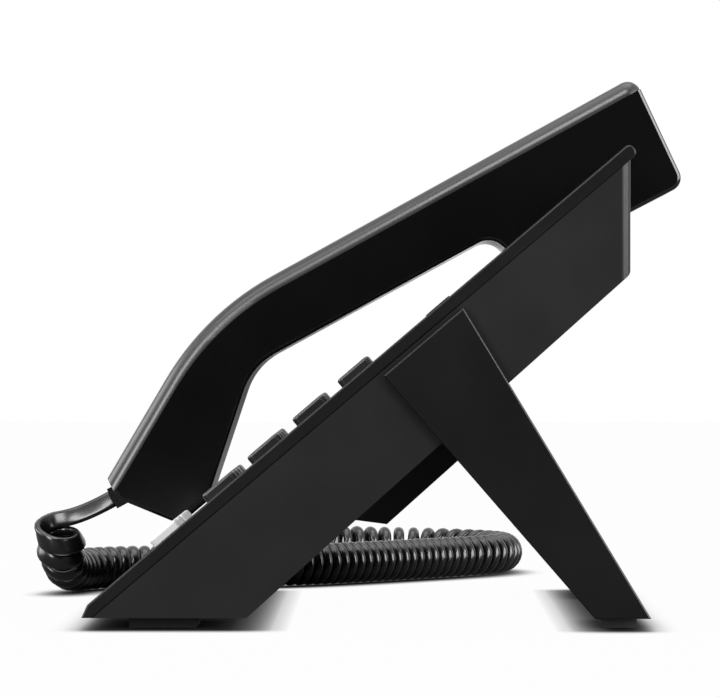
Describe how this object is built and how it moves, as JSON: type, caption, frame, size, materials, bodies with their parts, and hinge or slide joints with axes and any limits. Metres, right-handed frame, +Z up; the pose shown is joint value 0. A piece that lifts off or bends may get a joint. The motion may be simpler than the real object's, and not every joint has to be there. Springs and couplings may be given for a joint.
{
  "type": "desk ip phone",
  "caption": "Desk telephone with a sloping keypad base, a handset in a side cradle, a curly cord and a clip-on rear stand.",
  "frame": {"origin": "middle of the phone's footprint, without the cord, on the desk", "axes": "+Z up, the user sits towards -Y, the user's right is +X"},
  "size_m": [0.3194, 0.1913, 0.1534],
  "materials": {
    "face_plastic": "satin black moulded ABS",
    "housing_plastic": "fine-textured black moulded ABS",
    "stand_plastic": "smooth satin black moulded ABS",
    "handset_gloss": "gloss black moulded ABS",
    "key_black": "satin black key plastic",
    "key_grey": "light grey key plastic",
    "lens_glass": "dark clear acrylic",
    "screen": "unlit display glass",
    "lamp": "translucent red lamp window",
    "board": "green circuit board",
    "silicone": "grey silicone rubber",
    "socket": "black socket plastic",
    "rubber": "black rubber",
    "steel": "plated steel",
    "weight": "plain iron weight",
    "cord": "satin black cord jacket",
    "plug": "dark clear plug plastic"
  },
  "bodies": {
    "base": {"base_housing": "housing_plastic", "base_plug": "plug", "curly_cord": "cord", "display_lens": "lens_glass", "front_cover": "face_plastic", "front_pads": "rubber", "hands_free_microphone": "steel", "handset_cradle": "face_plastic", "handset_jack": "socket", "headset_jack": "socket", "hook_switch": "housing_plastic", "housing_screws": "steel", "keypad_mat": "silicone", "lan_port": "socket", "lcd_panel": "screen", "loudspeaker": "steel", "main_board": "board", "message_lamp": "lamp", "pc_port": "socket", "power_jack": "socket"},
    "handset": {"handset_back_cover": "handset_gloss", "handset_inner_shell": "handset_gloss", "earpiece_receiver": "steel", "handset_microphone": "steel", "handset_weight": "weight", "handset_plug": "plug"},
    "stand": {"rear_stand": "stand_plastic", "stand_pads": "rubber"},
    "key_0": {"key_0": "key_black"},
    "key_1": {"key_1": "key_black"},
    "key_2": {"key_2": "key_black"},
    "key_3": {"key_3": "key_black"},
    "key_4": {"key_4": "key_black"},
    "key_5": {"key_5": "key_black"},
    "key_6": {"key_6": "key_black"},
    "key_7": {"key_7": "key_black"},
    "key_8": {"key_8": "key_black"},
    "key_9": {"key_9": "key_black"},
    "key_conference": {"key_conference": "key_black"},
    "key_hash": {"key_hash": "key_black"},
    "key_hold": {"key_hold": "key_black"},
    "key_mute": {"key_mute": "key_grey"},
    "key_redial": {"key_redial": "key_black"},
    "key_speaker": {"key_speaker": "key_grey"},
    "key_star": {"key_star": "key_black"},
    "key_transfer": {"key_transfer": "key_black"},
    "soft_key_1": {"soft_key_1": "key_black"},
    "soft_key_2": {"soft_key_2": "key_black"},
    "soft_key_3": {"soft_key_3": "key_black"},
    "soft_key_4": {"soft_key_4": "key_black"},
    "volume_rocker": {"volume_rocker": "key_grey"},
    "hook_plunger": {"hook_plunger": "key_black"}
  },
  "joints": [
    {"name": "handset_lift", "type": "slide", "parent": "base", "child": "handset", "axis": [0, -0.6481, 0.7615], "range_m": [0, 0.07]},
    {"name": "hook_press", "type": "slide", "parent": "base", "child": "hook_plunger", "axis": [0, -0.6481, 0.7615], "range_m": [0, 0.003]},
    {"name": "stand_release", "type": "slide", "parent": "base", "child": "stand", "axis": [0, 0.6481, -0.7615], "range_m": [0, 0.035]},
    {"name": "volume_tilt", "type": "hinge", "parent": "base", "child": "volume_rocker", "pos_m": [0.00775, -0.05827, 0.01984], "axis": [0, 0.7615, 0.6481], "range_deg": [-3, 3], "stiffness_Nm_per_rad": 0.6},
    {"name": "key_0_press", "type": "slide", "parent": "base", "child": "key_0", "axis": [0, 0.6481, -0.7615], "range_m": [0, 0.0012], "stiffness_N_per_m": 600},
    {"name": "key_1_press", "type": "slide", "parent": "base", "child": "key_1", "axis": [0, 0.6481, -0.7615], "range_m": [0, 0.0012], "stiffness_N_per_m": 600},
    {"name": "key_2_press", "type": "slide", "parent": "base", "child": "key_2", "axis": [0, 0.6481, -0.7615], "range_m": [0, 0.0012], "stiffness_N_per_m": 600},
    {"name": "key_3_press", "type": "slide", "parent": "base", "child": "key_3", "axis": [0, 0.6481, -0.7615], "range_m": [0, 0.0012], "stiffness_N_per_m": 600},
    {"name": "key_4_press", "type": "slide", "parent": "base", "child": "key_4", "axis": [0, 0.6481, -0.7615], "range_m": [0, 0.0012], "stiffness_N_per_m": 600},
    {"name": "key_5_press", "type": "slide", "parent": "base", "child": "key_5", "axis": [0, 0.6481, -0.7615], "range_m": [0, 0.0012], "stiffness_N_per_m": 600},
    {"name": "key_6_press", "type": "slide", "parent": "base", "child": "key_6", "axis": [0, 0.6481, -0.7615], "range_m": [0, 0.0012], "stiffness_N_per_m": 600},
    {"name": "key_7_press", "type": "slide", "parent": "base", "child": "key_7", "axis": [0, 0.6481, -0.7615], "range_m": [0, 0.0012], "stiffness_N_per_m": 600},
    {"name": "key_8_press", "type": "slide", "parent": "base", "child": "key_8", "axis": [0, 0.6481, -0.7615], "range_m": [0, 0.0012], "stiffness_N_per_m": 600},
    {"name": "key_9_press", "type": "slide", "parent": "base", "child": "key_9", "axis": [0, 0.6481, -0.7615], "range_m": [0, 0.0012], "stiffness_N_per_m": 600},
    {"name": "key_conference_press", "type": "slide", "parent": "base", "child": "key_conference", "axis": [0, 0.6481, -0.7615], "range_m": [0, 0.0012], "stiffness_N_per_m": 600},
    {"name": "key_hash_press", "type": "slide", "parent": "base", "child": "key_hash", "axis": [0, 0.6481, -0.7615], "range_m": [0, 0.0012], "stiffness_N_per_m": 600},
    {"name": "key_hold_press", "type": "slide", "parent": "base", "child": "key_hold", "axis": [0, 0.6481, -0.7615], "range_m": [0, 0.0012], "stiffness_N_per_m": 600},
    {"name": "key_mute_press", "type": "slide", "parent": "base", "child": "key_mute", "axis": [0, 0.6481, -0.7615], "range_m": [0, 0.0012], "stiffness_N_per_m": 600},
    {"name": "key_redial_press", "type": "slide", "parent": "base", "child": "key_redial", "axis": [0, 0.6481, -0.7615], "range_m": [0, 0.0012], "stiffness_N_per_m": 600},
    {"name": "key_speaker_press", "type": "slide", "parent": "base", "child": "key_speaker", "axis": [0, 0.6481, -0.7615], "range_m": [0, 0.0012], "stiffness_N_per_m": 600},
    {"name": "key_star_press", "type": "slide", "parent": "base", "child": "key_star", "axis": [0, 0.6481, -0.7615], "range_m": [0, 0.0012], "stiffness_N_per_m": 600},
    {"name": "key_transfer_press", "type": "slide", "parent": "base", "child": "key_transfer", "axis": [0, 0.6481, -0.7615], "range_m": [0, 0.0012], "stiffness_N_per_m": 600},
    {"name": "soft_key_1_press", "type": "slide", "parent": "base", "child": "soft_key_1", "axis": [0, 0.6481, -0.7615], "range_m": [0, 0.0012], "stiffness_N_per_m": 600},
    {"name": "soft_key_2_press", "type": "slide", "parent": "base", "child": "soft_key_2", "axis": [0, 0.6481, -0.7615], "range_m": [0, 0.0012], "stiffness_N_per_m": 600},
    {"name": "soft_key_3_press", "type": "slide", "parent": "base", "child": "soft_key_3", "axis": [0, 0.6481, -0.7615], "range_m": [0, 0.0012], "stiffness_N_per_m": 600},
    {"name": "soft_key_4_press", "type": "slide", "parent": "base", "child": "soft_key_4", "axis": [0, 0.6481, -0.7615], "range_m": [0, 0.0012], "stiffness_N_per_m": 600}
  ],
  "couplings": [
    {"joint": "hook_press", "follows": "handset_lift", "ratio": 0.042757}
  ]
}
